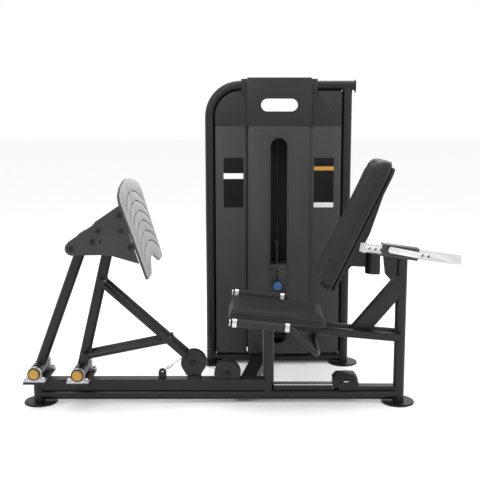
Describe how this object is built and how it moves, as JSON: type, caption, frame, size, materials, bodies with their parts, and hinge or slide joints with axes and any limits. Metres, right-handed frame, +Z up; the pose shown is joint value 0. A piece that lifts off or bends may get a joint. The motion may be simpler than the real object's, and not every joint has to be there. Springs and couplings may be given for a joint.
{
  "type": "seated leg press",
  "caption": "Seated leg press with linkage foot plate, sliding backrest and a weight stack tower",
  "frame": {"origin": "on the floor under the centre of the machine's outer box", "axes": "+Z up, +X from the foot plate towards the seat end, +Y from the user's side to the weight stack tower"},
  "size_m": [1.9661, 1.119, 1.474],
  "materials": {
    "frame_paint": "satin charcoal powder coat",
    "black_part": "black moulded plastic and rubber",
    "cover_paint": "satin dark grey powder coat",
    "cast_silver": "silver painted casting",
    "brass": "zinc yellow cap",
    "foot_alu": "bead blasted cast aluminium",
    "chrome": "polished",
    "plate_steel": "black painted weight steel",
    "pad": "black upholstery vinyl",
    "rubber": "moulded rubber",
    "blue": "blue knob",
    "placard": "printed plate",
    "cable": "coated steel cable"
  },
  "bodies": {
    "frame": {"base_rail": "frame_paint", "base_beam": "frame_paint", "front_post": "frame_paint", "rear_post": "frame_paint", "seat_post": "frame_paint", "pivot_plates": "frame_paint", "foot_discs": "black_part", "tower_link_beam": "frame_paint", "cable_channel": "frame_paint", "channel_cover": "foot_alu", "top_bracket": "frame_paint", "seat_rails": "frame_paint", "rear_brace": "frame_paint", "slide_sleeve": "frame_paint", "sleeve_gusset": "frame_paint", "front_pillow_blocks": "cast_silver", "rear_pillow_blocks": "cast_silver", "bearing_caps": "brass", "cable_lug": "frame_paint", "rest_bumper": "rubber", "fixed_pulley_plates": "frame_paint", "floor_pulley_cover": "cover_paint", "tower_tube": "frame_paint", "tower_right_tube": "frame_paint", "tower_cross_tube": "frame_paint", "tower_end_cap": "black_part", "top_cover": "cover_paint", "side_panels": "cover_paint", "centre_cover": "cover_paint", "rear_cover": "cover_paint", "slot_trim": "black_part", "placards": "placard", "guide_rods": "chrome", "stack_base": "frame_paint", "lower_plates": "plate_steel", "stack_cable": "cable", "seat_pad": "pad", "seat_bracket": "black_part", "handle_tube": "frame_paint", "hand_grips": "rubber", "grip_collars": "chrome", "press_cable": "cable"},
    "rear_arm": {"rear_link": "frame_paint", "arm_pulley_plates": "frame_paint"},
    "arm_wheel": {"arm_pulley": "black_part"},
    "front_arm": {"front_link": "frame_paint"},
    "foot_carriage": {"carriage_sides": "cover_paint", "carriage_tubes": "frame_paint", "foot_plate": "foot_alu", "carriage_bolts": "black_part"},
    "guide_wheel": {"fixed_pulley": "black_part"},
    "top_wheel": {"top_pulley": "black_part"},
    "stack": {"stack_head": "plate_steel", "upper_plates": "plate_steel"},
    "pin": {"selector_pin": "blue"},
    "backrest": {"slide_rail": "chrome", "backrest_frame": "frame_paint", "backrest_pad": "pad"},
    "lever": {"adjust_lever": "foot_alu"}
  },
  "joints": [
    {"name": "press_swing", "type": "hinge", "parent": "frame", "child": "rear_arm", "pos_m": [-0.718, -0.2415, 0.158], "axis": [0, -1, 0], "range_deg": [0, 25], "deforming": ["press_cable"]},
    {"name": "front_link_swing", "type": "hinge", "parent": "frame", "child": "front_arm", "pos_m": [-0.91, -0.2415, 0.164], "axis": [0, -1, 0], "range_deg": [0, 27]},
    {"name": "foot_plate_tilt", "type": "hinge", "parent": "rear_arm", "child": "foot_carriage", "pos_m": [-0.565, -0.2415, 0.79], "axis": [0, -1, 0], "range_deg": [-41, 0]},
    {"name": "stack_lift", "type": "slide", "parent": "frame", "child": "stack", "axis": [0, 0, 1], "range_m": [0, 0.3], "deforming": ["stack_cable"]},
    {"name": "arm_wheel_spin", "type": "hinge", "parent": "rear_arm", "child": "arm_wheel", "pos_m": [-0.21, -0.2415, 0.19], "axis": [0, -1, 0], "continuous": true},
    {"name": "guide_wheel_spin", "type": "hinge", "parent": "frame", "child": "guide_wheel", "pos_m": [-0.057, -0.2415, 0.137], "axis": [0, -1, 0], "continuous": true},
    {"name": "top_wheel_spin", "type": "hinge", "parent": "frame", "child": "top_wheel", "pos_m": [0.233, 0.4485, 1.395], "axis": [0, -1, 0], "continuous": true},
    {"name": "pin_pull", "type": "slide", "parent": "stack", "child": "pin", "axis": [0, -1, 0], "range_m": [0, 0.075]},
    {"name": "backrest_slide", "type": "slide", "parent": "frame", "child": "backrest", "axis": [-0.9903, 0, 0.1392], "range_m": [0, 0.1325]},
    {"name": "lever_pull", "type": "slide", "parent": "frame", "child": "lever", "axis": [0, -1, 0], "range_m": [0, 0.012], "stiffness_N_per_m": 400}
  ],
  "couplings": [
    {"joint": "front_link_swing", "follows": "press_swing", "ratio": 1.057},
    {"joint": "foot_plate_tilt", "follows": "press_swing", "ratio": -1.623},
    {"joint": "stack_lift", "follows": "press_swing", "m_per_rad": 0.68}
  ]
}
